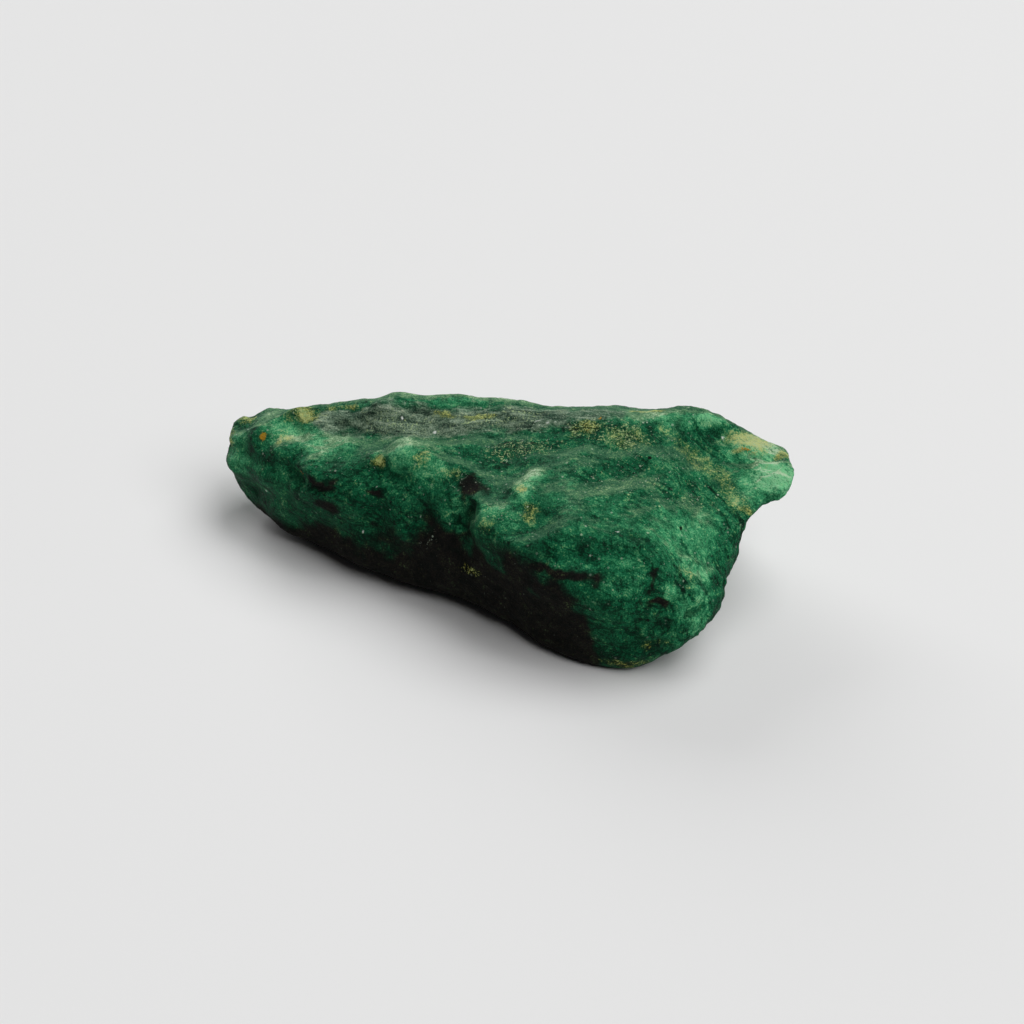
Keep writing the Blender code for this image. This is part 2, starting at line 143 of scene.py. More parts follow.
DARK_SCHIST = (
    (-2.5, -2.2, 9.5, 0.9, 0.9, 0.8, 1.0), (-13.1, 0.8, 7.8, 1.5, 0.7, 0.40, 1.0),
    (-9.1, -0.7, 7.9, 0.6, 0.5, 0.28, 0.95), (-11.0, 0.2, 7.0, 0.9, 0.6, 0.30, 0.85),
    (-12.5, 0.4, 6.2, 1.3, 0.8, 0.5, 0.9), (10.4, -11.5, 6.1, 0.7, 0.5, 0.28, 0.9),
    (-9.5, -1.0, 5.4, 0.9, 0.6, 0.4, 0.8), (-1.6, -3.6, 9.0, 0.5, 0.6, 0.6, 0.8),
    (-6.0, 12.0, 7.5, 3.4, 1.5, 0.6, 0.7), (4.0, 11.0, 3.4, 4.5, 2.0, 1.5, 0.9),
    (-13.0, 12.0, 2.6, 3.4, 1.5, 1.4, 0.85), (-6.0, 12.0, 1.6, 5.0, 1.5, 1.2, 0.7),
    (12.0, 8.8, 5.5, 2.0, 1.5, 1.0, 0.8), (9.2, 9.8, 2.6, 3.5, 1.8, 1.6, 0.9),
    (-5.4, -2.4, 7.2, 0.6, 0.6, 0.4, 0.6),
)
GREEN_IN_SCHIST = (
    (-3.4, -3.9, 7.6, 0.9, 0.9, 0.9, 0.8), (-2.5, -4.9, 6.4, 0.8, 0.8, 0.7, 0.6),
    (-0.6, -7.2, 6.8, 1.0, 0.8, 0.8, 0.65), (-11.5, 0.0, 4.4, 1.6, 1.0, 0.7, 0.5),
    (2.2, -8.6, 5.4, 0.9, 0.7, 0.6, 0.4), (-8.0, -1.2, 3.6, 1.4, 0.9, 0.6, 0.4),
    (-15.5, 3.4, 3.0, 1.4, 1.0, 0.9, 0.5),
)
IRON_STAIN = (
    (-14.6, 6.5, 9.9, 1.4, 1.1, 0.6, 0.8), (-4.2, 5.2, 10.6, 0.8, 0.5, 0.5, 0.7),
    (5.7, 2.6, 11.3, 1.1, 0.7, 0.5, 0.7), (8.6, 1.5, 11.0, 1.4, 1.0, 0.5, 0.4),
    (16.8, -3.4, 8.4, 0.6, 0.6, 0.5, 0.8), (16.1, -2.4, 8.8, 0.4, 0.5, 0.4, 0.5),
    (0.8, -4.3, 10.8, 0.7, 0.8, 0.6, 0.8), (1.8, -5.9, 9.9, 0.9, 0.6, 0.5, 0.55),
    (17.2, 1.6, 10.0, 1.0, 0.4, 0.3, 0.8), (-20.1, 7.8, 6.9, 0.5, 1.2, 1.2, 0.7),
    (-16.0, 5.2, 9.1, 1.0, 0.8, 0.6, 0.7), (19.6, 2.0, 9.6, 0.6, 0.7, 0.5, 0.8),
    (10.3, -11.6, 2.8, 1.0, 0.5, 0.5, 0.6), (8.0, -11.4, 0.9, 2.4, 0.7, 0.4, 0.6),
    (17.6, 2.8, 10.2, 2.0, 1.0, 0.7, 0.7), (-8.9, 1.0, 9.4, 0.7, 0.6, 0.5, 0.8),
    (-3.7, -1.5, 10.1, 0.6, 0.5, 0.4, 0.4), (-2.2, -5.4, 4.6, 1.1, 0.6, 0.35, 0.7),
    (-9.0, 11.9, 6.4, 1.2, 0.8, 0.5, 0.8), (9.0, 10.5, 6.5, 1.4, 0.8, 0.5, 0.8),
    (-5.6, -0.4, 10.7, 0.8, 0.7, 0.5, 0.45), (-1.5, -6.3, 9.0, 1.0, 0.6, 0.6, 0.4),
    (12.2, -9.6, 7.0, 0.9, 0.6, 0.8, 0.4), (-18.6, 9.0, 7.6, 1.2, 0.7, 0.4, 0.5),
)
ORANGE_GRAIN = (
    (-17.3, 5.85, 8.4, 0.26, 0.26, 0.34, 1.0), (6.7, 3.2, 11.6, 0.14, 0.14, 0.2, 0.6),
    (17.0, 1.7, 10.0, 0.35, 0.2, 0.2, 0.6), (-14.3, 1.9, 7.9, 0.14, 0.2, 0.25, 0.5),
)
WHITE_MARKS = (
    (-5.0, 4.15, 9.9, 0.13, 0.13, 0.2, 1.0), (-7.3, 5.2, 10.4, 0.11, 0.11, 0.2, 0.9),
    (7.63, -7.98, 9.8, 0.10, 0.10, 0.2, 1.0), (15.4, 2.9, 10.2, 0.12, 0.12, 0.2, 0.8),
    (-9.0, -0.45, 8.3, 0.08, 0.1, 0.1, 0.8), (-5.8, -2.1, 6.9, 0.07, 0.12, 0.09, 0.6),
    (-10.0, -0.6, 4.55, 0.10, 0.15, 0.14, 0.6), (-17.2, 4.5, 4.5, 0.2, 0.2, 0.16, 0.6),
)
BLACK_MARKS = (
    (10.1, -0.57, 10.9, 0.16, 0.16, 0.25, 1.0), (12.07, -6.27, 8.9, 0.14, 0.2, 0.2, 1.0),
    (9.65, -11.7, 5.0, 0.16, 0.3, 0.2, 1.0),
)
# Scratches, as two ends, a half width and a strength.
SCRATCHES = (
    (1.86, 3.35, 11.05, 2.92, 3.74, 11.38, 0.05, 0.5), (2.35, 3.18, 11.07, 4.04, 3.27, 11.44, 0.05, 0.5),
    (2.3, 3.0, 11.1, 3.6, 3.6, 11.4, 0.045, 0.45),
)
# Where mica crowds thickest, with most painted glints.
GLITTER = (
    (1.2, 0.9, 10.7, 3.2, 1.3, 1.0, 1.0), (8.4, 1.8, 11.0, 2.2, 1.6, 1.0, 1.0),
    (-8.0, 4.6, 10.4, 4.0, 1.1, 0.9, 0.8), (-1.0, 4.2, 11.0, 5.0, 1.1, 0.9, 0.8),
    (-14.6, 6.5, 9.9, 1.4, 0.9, 0.7, 0.9), (5.7, 2.6, 11.3, 1.6, 1.2, 0.7, 1.0),
    (-3.7, -1.5, 10.1, 1.3, 1.0, 0.8, 0.6), (9.0, -2.5, 10.6, 4.5, 3.0, 1.5, 0.45),
    (-1.0, -5.6, 9.6, 2.0, 1.0, 1.0, 0.6), (-5.5, -3.2, 5.6, 1.2, 0.8, 1.0, 0.6),
    (-1.0, -7.0, 4.0, 5.0, 2.0, 2.2, 0.3), (13.5, -3.2, 9.4, 2.4, 2.0, 1.0, 0.6),
)
CHIPPED = (
    (12.6, -9.4, 5.4, 2.6, 2.6, 3.0, 1.0), (9.8, -11.0, 4.5, 2.0, 1.4, 3.0, 0.7),
    (17.8, 1.0, 9.3, 2.4, 2.4, 1.6, 0.35), (-14.2, 2.6, 7.4, 1.6, 1.6, 1.4, 0.8),
    (-2.6, -3.6, 8.0, 1.4, 1.4, 2.0, 0.6), (-11.0, 12.0, 5.0, 5.0, 2.0, 3.0, 0.8),
    (6.0, 11.0, 5.0, 5.0, 2.0, 3.0, 0.9), (16.5, -4.5, 6.6, 1.2, 1.6, 1.6, 0.9),
    (15.2, -7.4, 5.4, 1.0, 1.6, 2.0, 0.9), (14.6, -8.6, 3.6, 1.2, 1.6, 2.0, 0.9),
    (5.0, -9.6, 8.8, 3.0, 0.8, 0.8, 0.5), (-18.8, 8.6, 7.6, 1.5, 1.6, 0.7, 0.4),
    (18.6, -1.4, 8.2, 1.8, 1.2, 0.9, 0.7), (13.2, -10.9, 2.6, 1.4, 1.2, 1.4, 0.8),
)
# Long marks as two ends, a half width and a strength.
SCHIST_BANDS = (
    (-12.6, 5.9, 9.9, -8.6, 5.0, 10.2, 1.15, 0.85), (-8.6, 5.0, 10.2, -3.4, 4.6, 10.6, 1.3, 0.9),
    (-3.4, 4.6, 10.6, 3.9, 3.9, 11.4, 1.2, 0.85), (3.9, 3.9, 11.4, 8.0, 3.9, 11.6, 0.7, 0.65),
)
DARK_VEINS = (
    (1.8, -9.4, 7.9, 6.4, -10.8, 7.8, 0.45, 0.9), (10.2, -10.5, 8.1, 9.9, -11.0, 7.2, 0.22, 0.8),
    (9.9, -11.0, 7.2, 9.1, -11.7, 6.2, 0.25, 0.9), (-2.2, -1.6, 9.9, -0.9, -3.6, 9.4, 0.5, 0.6),
    (-0.9, -3.6, 9.4, 0.3, -6.9, 8.6, 0.3, 0.5), (-16.0, 11.2, 5.2, -8.0, 11.5, 4.2, 0.5, 0.7),
    (-8.0, 11.5, 4.2, 1.0, 11.0, 2.8, 0.6, 0.75), (2.0, 9.9, 7.7, 9.0, 9.3, 7.0, 0.4, 0.7),
    (9.0, 9.3, 7.0, 13.5, 8.9, 6.2, 0.35, 0.6),
)
STAIN_LINES = (
    (-13.4, 6.9, 10.1, -9.9, 7.1, 10.4, 0.35, 0.7), (-3.0, 4.9, 10.8, -0.6, 4.6, 10.9, 0.35, 0.65),
    (8.9, 4.3, 11.6, 11.2, 4.5, 11.6, 0.3, 0.7), (11.3, 2.6, 10.9, 13.0, 1.4, 10.1, 0.7, 0.30),
    (13.0, 1.4, 10.1, 15.0, -0.8, 9.2, 0.8, 0.38), (15.0, -0.8, 9.2, 16.6, -3.3, 8.5, 0.7, 0.42),
)
CLEAR_BANDS = (
    (3.0, -9.2, 9.0, 6.5, -9.4, 8.7, 0.9, 0.95), (6.5, -9.4, 8.7, 9.6, -10.2, 8.0, 0.9, 0.95),
)
# Height of the schist's upper edge on the front face, as (x, z).
FRONT_SCHIST_TOP = (
    (-19, 1.2), (-16, 2.2), (-13, 3.7), (-10, 4.0), (-8, 4.2), (-6.2, 5.8), (-5.2, 7.6), (-3, 7.8), (-1, 8.0),
    (1, 8.1), (3, 7.9), (4.2, 7.3), (5.0, 5.6), (5.9, 3.2), (7.0, 0.9), (8.5, -1.5), (21, -1.5),
)
# Lumps, and hollows where the last number, the height, is below 0.
LUMPS = (
    (-7.0, 0.5, 10.4, 1.5, 1.7, 1.1, 0.12), (-5.2, -0.8, 10.2, 1.6, 1.2, 0.9, 0.08),
    (-8.9, 1.4, 9.7, 0.7, 0.8, 0.7, 0.10), (1.1, -4.4, 10.8, 1.2, 1.2, 1.1, 0.08),
    (2.0, -2.5, 10.8, 0.9, 1.0, 0.9, 0.06), (-3.2, -3.3, 8.8, 0.6, 0.6, 0.7, 0.12),
    (-3.0, -4.2, 7.3, 0.7, 0.5, 0.4, 0.1), (-0.4, -5.5, 9.6, 0.3, 0.3, 0.3, 0.06),
    (4.0, -6.2, 10.2, 0.3, 0.3, 0.3, 0.05), (-17.3, 5.85, 8.4, 0.26, 0.26, 0.3, 0.08),
    (-0.6, -5.9, 9.5, 2.2, 1.2, 1.0, 0.06), (-2.5, -2.2, 9.4, 0.8, 0.7, 0.7, 0.10),
    (-13.1, 0.5, 7.5, 1.7, 0.9, 0.35, -0.16), (-14.5, 3.0, 8.5, 0.9, 0.7, 0.6, -0.04),
    (17.6, 1.5, 9.7, 1.6, 0.22, 0.3, -0.08), (-13.0, 1.6, 8.3, 1.5, 0.8, 0.35, 0.10),
    (12.8, -10.2, 6.2, 0.9, 1.0, 1.1, 0.14), (12.3, -10.9, 4.0, 1.1, 0.8, 0.9, 0.14),
    (11.2, -11.2, 5.4, 0.3, 0.5, 1.3, -0.08), (9.6, -11.3, 6.9, 0.25, 0.6, 1.3, -0.08),
    (-8.0, 10.6, 7.4, 5.0, 1.8, 0.7, 0.14), (2.5, 10.9, 5.4, 3.6, 1.8, 0.9, -0.18),
    (-13.0, 11.2, 4.6, 2.6, 1.8, 0.9, 0.14), (9.5, 9.7, 5.2, 2.6, 1.8, 0.8, 0.16),
    (14.5, -9.2, 4.5, 1.2, 1.2, 1.2, 0.25), (-19.3, 8.3, 7.4, 1.3, 1.6, 1.0, 0.22),
    (-17.6, 9.3, 8.4, 1.5, 1.3, 0.8, 0.16),
)


# ---------------------------------------------------------------------------------------------------------------
# Shape of the stone
# ---------------------------------------------------------------------------------------------------------------

def smooth_step(value):
    """0 below 0, 1 above 1, and 3t^2 - 2t^3 between."""
    t = np.clip(value, 0.0, 1.0)
    return t * t * (3.0 - 2.0 * t)


def cell_draw(cell):
    """The number of the random draw that belongs to a whole-numbered cell: its three numbers times three primes,
    combined bit by bit."""
    key = cell * CELL_PRIMES
    return (key[..., 0] ^ key[..., 1] ^ key[..., 2]) % DRAWS


def lattice_noise(points, size, seed):
    """Smooth noise between about -1 and 1. Each corner of a cube of the given size holds a random slope, and the
    eight slopes' heights at a point are blended by 6t^5 - 15t^4 + 10t^3 along each edge."""
    slopes = np.random.default_rng(seed).normal(size=(DRAWS, 3))
    slopes /= np.linalg.norm(slopes, axis=1, keepdims=True)
    scaled = points / size
    cell = np.floor(scaled).astype(np.int64)
    along = scaled - cell
    fade = along ** 3 * (along * (along * 6.0 - 15.0) + 10.0)
    total = np.zeros(points.shape[:-1])
    for corner in itertools.product((0, 1), repeat=3):
        offset = np.array(corner)
        slope = slopes[cell_draw(cell + offset)]
        weight = np.where(offset == 1, fade, 1.0 - fade).prod(axis=-1)
        total += weight * (slope * (along - offset)).sum(axis=-1)
    return NOISE_GAIN * total


def bowls(points, size, seed):
    """Height of a shelly break: the lowest of shallow bowls, one in each cube of the given size. A bowl rises as
    half the square of the distance from its centre, plus that distance times its own random lean."""
    random = np.random.default_rng(seed)
    shifts = random.random((DRAWS, 3))
    leans = random.normal(size=(DRAWS, 3)) * SHELL_LEAN
    scaled = points / size
    cell = np.floor(scaled).astype(np.int64)
    lowest = np.full(points.shape[:-1], np.inf)
    for corner in itertools.product((-1, 0, 1), repeat=3):
        other = cell + np.array(corner)
        draw = cell_draw(other)
        arm = scaled - other - shifts[draw]
        lowest = np.minimum(lowest, (arm * (0.5 * arm + leans[draw])).sum(axis=-1))
    return size * lowest


def smooth_line(x, rows):
    """Smooth curves through rows of x and their values. Each row's slope is that of the parabola through it and
    its neighbours, and between two rows a cubic joins their values and slopes."""
    known = rows[:, 0]
    slopes = np.gradient(rows[:, 1:], known, axis=0)
    piece = np.clip(np.searchsorted(known, x, side="right") - 1, 0, len(known) - 2)
    width = (known[piece + 1] - known[piece])[:, None]
    t = (x - known[piece])[:, None] / width
    start, end = rows[piece, 1:], rows[piece + 1, 1:]
    bend = (1.0 - t) * slopes[piece] - t * slopes[piece + 1]
    lean = (1.0 - 2.0 * t) * (end - start)
    return (1.0 - t) * start + t * end + t * (1.0 - t) * (width * bend - lean)


def spindle():
    """A closed spindle along the stone's middle: ring i stands at x = -E cos(pi (i + 1/2) / n), and is an
    ellipse whose size falls to nothing at both ends as the square root of 1 - |x / E|^8."""
    turn = (np.arange(SPINDLE_RINGS) + 0.5) / SPINDLE_RINGS * np.pi
    x = -SPINDLE_END * np.cos(turn)
    y, z, wide, high = smooth_line(x, np.array(SPINE)).T
    share = np.sqrt(1.0 - np.abs(x / SPINDLE_END) ** SPINDLE_BLUNTNESS)
    angle = START_ANGLE + np.arange(SPINDLE_STEPS) / SPINDLE_STEPS * 2.0 * np.pi
    rings = np.empty((SPINDLE_RINGS, SPINDLE_STEPS, 3))
    rings[..., 0] = x[:, None]
    rings[..., 1] = y[:, None] + (wide * share)[:, None] * np.cos(angle)
    rings[..., 2] = z[:, None] + (high * share)[:, None] * np.sin(angle)
    return rings


def grid_faces(rings, steps):
    """Four-sided faces between neighbouring rings, closed round each ring, with their outside out."""
    ring, step = np.meshgrid(np.arange(rings - 1), np.arange(steps), indexing="ij")
    after = (step + 1) % steps
    corners = (
        ring * steps + step, (ring + 1) * steps + step, (ring + 1) * steps + after, ring * steps + after,
    )
    return np.stack(corners, axis=-1).reshape(-1, 4)[:, ::-1]


def new_mesh(name, points, faces):
    """A mesh object from points in millimetres and a list of face arrays."""
    mesh = bpy.data.meshes.new(name)
    loops = np.concatenate([part.ravel() for part in faces])
    sizes = np.concatenate([np.full(len(part), part.shape[1]) for part in faces])
    starts = np.concatenate([[0], np.cumsum(sizes)[:-1]])
    mesh.vertices.add(len(points))
    mesh.loops.add(len(loops))
    mesh.polygons.add(len(sizes))
    mesh.vertices.foreach_set("co", (points * MM).astype(np.float32).ravel())
    mesh.loops.foreach_set("vertex_index", loops.astype(np.int32))
    mesh.polygons.foreach_set("loop_start", starts.astype(np.int32))
    mesh.polygons.foreach_set("use_smooth", np.ones(len(sizes), bool))
    mesh.update(calc_edges=True)
    mesh.validate()
    made = bpy.data.objects.new(name, mesh)
    bpy.context.scene.collection.objects.link(made)
    return made


def blow_out(rings, solid):
    """Each point of the spindle goes along its normal until it meets the solid from inside."""
    blank = new_mesh("spindle", rings.reshape(-1, 3), [grid_faces(*rings.shape[:2])])
    wrap = blank.modifiers.new("onto the solid", "SHRINKWRAP")
    wrap.target = solid
    wrap.wrap_method = "PROJECT"
    wrap.use_positive_direction = True
    wrap.use_negative_direction = False
    reached = blank.evaluated_get(bpy.context.evaluated_depsgraph_get()).data
    points = np.empty(rings.size, np.float32)
    reached.vertices.foreach_get("co", points)
    bpy.data.objects.remove(blank)
    return points.reshape(rings.shape).astype(float) / MM


def spread_round(rings, steps):
    """The points of each ring set out again at equal steps along it, where the resting face counts for less."""
    closed = np.concatenate([rings, rings[:, :1]], axis=1)
    lengths = np.linalg.norm(np.diff(closed, axis=1), axis=-1)
    middle = (closed[:, 1:, 2] + closed[:, :-1, 2]) / 2.0
    lengths *= UNDERSIDE + (1.0 - UNDERSIDE) * smooth_step(middle / UNDERSIDE_TOP)
    along = np.concatenate([np.zeros((len(rings), 1)), np.cumsum(lengths, axis=1)], axis=1)
    along /= along[:, -1:]
    row = np.arange(len(rings))[:, None]
    wanted = (row + np.arange(steps) / steps).ravel()
    known = (row + along).ravel()
    columns = [np.interp(wanted, known, closed[..., axis].ravel()) for axis in range(3)]
    return np.stack(columns, axis=-1).reshape(len(rings), steps, 3)


def spread_along(rings, count):
    """The rings set out again so that neighbours are equally far apart on average."""
    gaps = np.linalg.norm(np.diff(rings, axis=0), axis=-1)
    along = np.concatenate([[0.0], np.cumsum(np.sqrt((gaps ** 2).mean(axis=1)))])
    wanted = (np.arange(count) + 0.5) / count * along[-1]
    place = np.interp(wanted, along, np.arange(len(rings)))
    low = np.minimum(place.astype(int), len(rings) - 2)
    share = (place - low)[:, None, None]
    return rings[low] * (1.0 - share) + rings[low + 1] * share


def over_the_ends(grid):
    """The grid with one more ring at each end: the same ring seen from across the pole."""
    half = grid.shape[1] // 2
    return np.concatenate([np.roll(grid[:1], half, axis=1), grid, np.roll(grid[-1:], half, axis=1)])


def ease(grid, passes):
    """Each value goes halfway to the mean of its four neighbours, a number of times."""
    for _ in range(passes):
        wide = over_the_ends(grid)
        mean = (wide[:-2] + wide[2:] + np.roll(grid, 1, axis=1) + np.roll(grid, -1, axis=1)) / 4.0
        grid = (grid + mean) / 2.0
    return grid


def outward(rings):
    """Unit normals: across the difference along the stone and the difference round it."""
    wide = over_the_ends(rings)
    along = wide[2:] - wide[:-2]
    round_it = np.roll(rings, -1, axis=1) - np.roll(rings, 1, axis=1)
    normal = np.cross(round_it, along)
    normal /= np.maximum(np.linalg.norm(normal, axis=-1, keepdims=True), 1e-9)
    middle = rings.mean(axis=1, keepdims=True)
    return normal * np.sign(((rings - middle) * normal).sum())


def spots(points, rows):
    """The strongest of some spots: each is its strength within half its reach, and nothing beyond one and a half
    times its reach."""
    field = np.zeros(points.shape[:-1])
    for row in rows:
        distance = np.linalg.norm((points - row[:3]) / np.array(row[3:6]), axis=-1)
        field = np.maximum(field, row[6] * smooth_step(1.5 - distance))
    return field


def strokes(points, rows):
    """The strongest of some straight strokes, which fade as spots do with the distance from their line."""
    field = np.zeros(points.shape[:-1])
    for row in rows:
        start, end = np.array(row[:3]), np.array(row[3:6])
        line = end - start
        share = np.clip(((points - start) @ line) / (line @ line), 0.0, 1.0)
        distance = np.linalg.norm(points - start - share[..., None] * line, axis=-1) / row[6]
        field = np.maximum(field, row[7] * smooth_step(1.5 - distance))
    return field


def bedding(points):
    """Coordinates that follow the schist's bedding: along it, across it and through it. The beds run along the
    stone, and past TURN_X they turn towards the front."""
    x, y, z = points[..., 0], points[..., 1], points[..., 2]
    past = np.logaddexp(0.0, (x - TURN_X) / TURN_WIDTH) * TURN_WIDTH
    across = y + TURN_ACROSS * past + BED_SKEW * x
    return np.stack([x - TURN_BACK * past, across, z - BED_DIP * y], axis=-1)


def stone_surface(solid):
    """The evenly spread, eased surface of the solid, as rings of points."""
    rings = blow_out(spindle(), solid)
    rings = spread_along(spread_round(rings, STEPS), RINGS)
    return ease(rings, EASING)


def wander(points, far, near):
    """The points moved about by smooth noise: far by its large bumps, and near by its small ones."""
    broad = np.stack([lattice_noise(points, FAR_BUMPS, 30 + k) for k in range(3)], axis=-1)
    fine = np.stack([lattice_noise(points, NEAR_BUMPS, 40 + k) for k in range(3)], axis=-1)
    return points + far * broad + near * fine


def add_relief(rings):
    """Moves each point along its normal by the sum of the stone's fine forms. Gives the new points and the
    moves."""
    normal = outward(rings)
    warp = lattice_noise(rings, 1.6, 21)
    chipped = spots(rings, CHIPPED)
    # Rolling ground, finer towards the grain of the crystal.
    move = np.zeros(rings.shape[:-1])
    for size, height, chips, seed in ROLLING:
        move += (height + chips * chipped) * lattice_noise(rings, size, seed)
    # Bedding steps: thin layers that end one after another, on what faces up.
    layer = (bedding(rings)[..., 1] + 0.35 * warp) / BED
    step = (BED_STEP + SCHIST_STEP * strokes(rings, SCHIST_BANDS)) * (layer - np.floor(layer) - 0.6)
    fades = smooth_step(0.5 + 1.2 * lattice_noise(rings, 2.4, 22))
    move += step * fades * smooth_step(normal[..., 2] * 2.0)
    # Bowls of a shelly break, large and small, deepest where the stone is chipped.
    shifted = rings + 0.25 * warp[..., None]
    shell = sum(depth * (bowls(shifted, size, seed) - level) for size, depth, level, seed in SHELLS)
    move += (SHELL_PLAIN + SHELL_CHIPPED * chipped) * shell
    # Lumps and hollows with a firm, wandering edge.
    places = wander(rings, *LUMP_WANDER)
    for row in LUMPS:
        distance = np.linalg.norm((places - row[:3]) / np.array(row[3:6]), axis=-1)
        move += row[6] * smooth_step((1.25 - distance) / 0.5)
    move *= smooth_step(rings[..., 2] / FOOT)
    raised = rings + normal * move[..., None]
    raised[..., 2] = np.maximum(raised[..., 2], 0.0)
    return raised, move


def front_schist(rings, places, front):
    """The share of dark schist on the front face: it fades out over its upper edge, which wanders and is patchy,
    and leaves the green patches free."""
    edge = np.array(FRONT_SCHIST_TOP)
    top = np.interp(places[..., 0], edge[:, 0], edge[:, 1])
    patches = 1.3 * lattice_noise(rings, 2.8, 50) + 0.8 * lattice_noise(rings, 1.2, 51)
    share = front * smooth_step((top - places[..., 2] + patches) / FRONT_BORDER + 0.5)
    return share * (1.0 - spots(places, GREEN_IN_SCHIST))


def zones(rings, move):
    """The share of each finish at each point, as four triples: pale beryl, schist and iron stain; clear crystal,
    brown schist, and how much a point stands out of its surroundings, by which the finish paints light on ridges
    and shade in hollows; how far it faces up, by which it paints the top paler, the front darker and more glints
    on top, then mica, and chips; and the single orange, white and black marks. Dark spots and veins count as
    brown schist."""
    normal = outward(rings)
    places = wander(rings, *COLOUR_WANDER)
    front = smooth_step(0.3 - normal[..., 1] * 2.5)
    dark = np.maximum(spots(places, DARK_SCHIST), strokes(places, DARK_VEINS))
    brown = np.maximum(front_schist(rings, places, front), dark)
    schist = np.maximum(strokes(places, SCHIST_BANDS), brown)
    stain = np.maximum(spots(places, IRON_STAIN), strokes(places, STAIN_LINES))
    clear = np.maximum.reduce([spots(places, CLEAR_CRYSTAL), strokes(places, CLEAR_BANDS), 0.75 * front])
    # How far a point stands out, in fine relief and in form: the finish paints light on what stands out and
    # shade in what lies in.
    hollow = ((rings - ease(rings, HOLLOW_PASSES)) * normal).sum(axis=-1)
    proud = 0.5 + 3.0 * (move - ease(move, PROUD_PASSES)) + hollow
    # How far a point faces up: the finish paints the top paler and the front darker by it, and brightens the
    # glints on top.
    face_up = smooth_step(0.5 + 0.9 * (normal[..., 2] - 0.35))
    white = np.maximum(spots(rings, WHITE_MARKS), strokes(rings, SCRATCHES))
    return (
        np.stack([spots(places, PALE_BERYL), schist, stain], axis=-1),
        np.stack([clear, brown, proud], axis=-1),
        np.stack([face_up, spots(places, GLITTER), spots(places, CHIPPED)], axis=-1),
        np.stack([spots(rings, ORANGE_GRAIN), white, spots(rings, BLACK_MARKS)], axis=-1),
    )


def give_shares(mesh, name, triples, poles):
    """A point attribute of three shares, from the grid and the two poles."""
    values = np.clip(np.concatenate([triples.reshape(-1, 3), poles]), 0.0, 1.0)
    values = np.concatenate([values, np.ones((len(values), 1))], axis=1)
    attribute = mesh.attributes.new(name, "FLOAT_COLOR", "POINT")
    attribute.data.foreach_set("color", values.astype(np.float32).ravel())


def unroll(mesh):
    """The map that the finish is baked through: round the stone is across, and along it is up. A ring's last
    face ends at 1, where its first face starts at 0, and each pole is a row of its own."""
    ring, step = np.meshgrid(np.arange(RINGS - 1), np.arange(STEPS), indexing="ij")
    across = np.stack([step + 1, step + 1, step, step], axis=-1).reshape(-1)
    up = np.stack([ring, ring + 1, ring + 1, ring], axis=-1).reshape(-1)
    step = np.arange(STEPS)
    left = np.stack([step + 1, step, step + 0.5], axis=-1).reshape(-1)
    right = np.stack([step, step + 1, step + 0.5], axis=-1).reshape(-1)
    left_up = np.tile((0.0, 0.0, -1.0), STEPS)
    places = np.stack([
        np.concatenate([across, left, right]) / STEPS,
        (np.concatenate([up, left_up, RINGS - 1 - left_up]) + 1.0) / (RINGS + 1.0),
    ], axis=-1)
    mesh.uv_layers.new(name="OFBake").data.foreach_set("uv", places.astype(np.float32).ravel())


def both_poles(grid):
    """The means of the first and the last ring."""
    return np.concatenate([grid[:1].mean(axis=1), grid[-1:].mean(axis=1)])


def stone(solid):
    """The finished stone: the raised rings, closed by a fan at each pole."""
    rings, move = add_relief(stone_surface(solid))
    count = RINGS * STEPS
    step = np.arange(STEPS)
    after = (step + 1) % STEPS
    last = count - STEPS
    left = np.stack([after, step, np.full(STEPS, count)], axis=-1)
    right = np.stack([last + step, last + after, np.full(STEPS, count + 1)], axis=-1)
    points = np.concatenate([rings.reshape(-1, 3), both_poles(rings)])
    made = new_mesh("stone", points, [grid_faces(RINGS, STEPS), left, right])
    for name, triples in zip(("zones", "marks", "lies", "grains"), zones(rings, move)):
        give_shares(made.data, name, triples, both_poles(triples))
    beds = made.data.attributes.new("beds", "FLOAT_VECTOR", "POINT")
    beds.data.foreach_set("vector", bedding(points).astype(np.float32).ravel())
    unroll(made.data)
    return made


# ---------------------------------------------------------------------------------------------------------------
# Finish of the stone
# ---------------------------------------------------------------------------------------------------------------

class Value:
    """The output of a node. Arithmetic on it adds Math nodes to its recipe."""

    def __init__(self, recipe, socket):
        self.recipe = recipe
        self.socket = socket

    def __add__(self, other):
        return self.recipe.math("ADD", self, other)

    def __sub__(self, other):
        return self.recipe.math("SUBTRACT", self, other)

    def __rsub__(self, other):
        return self.recipe.math("SUBTRACT", other, self)

    def __mul__(self, other):
        return self.recipe.math("MULTIPLY", self, other)

    def __lt__(self, other):
        return self.recipe.math("LESS_THAN", self, other)

    __radd__ = __add__
    __rmul__ = __mul__


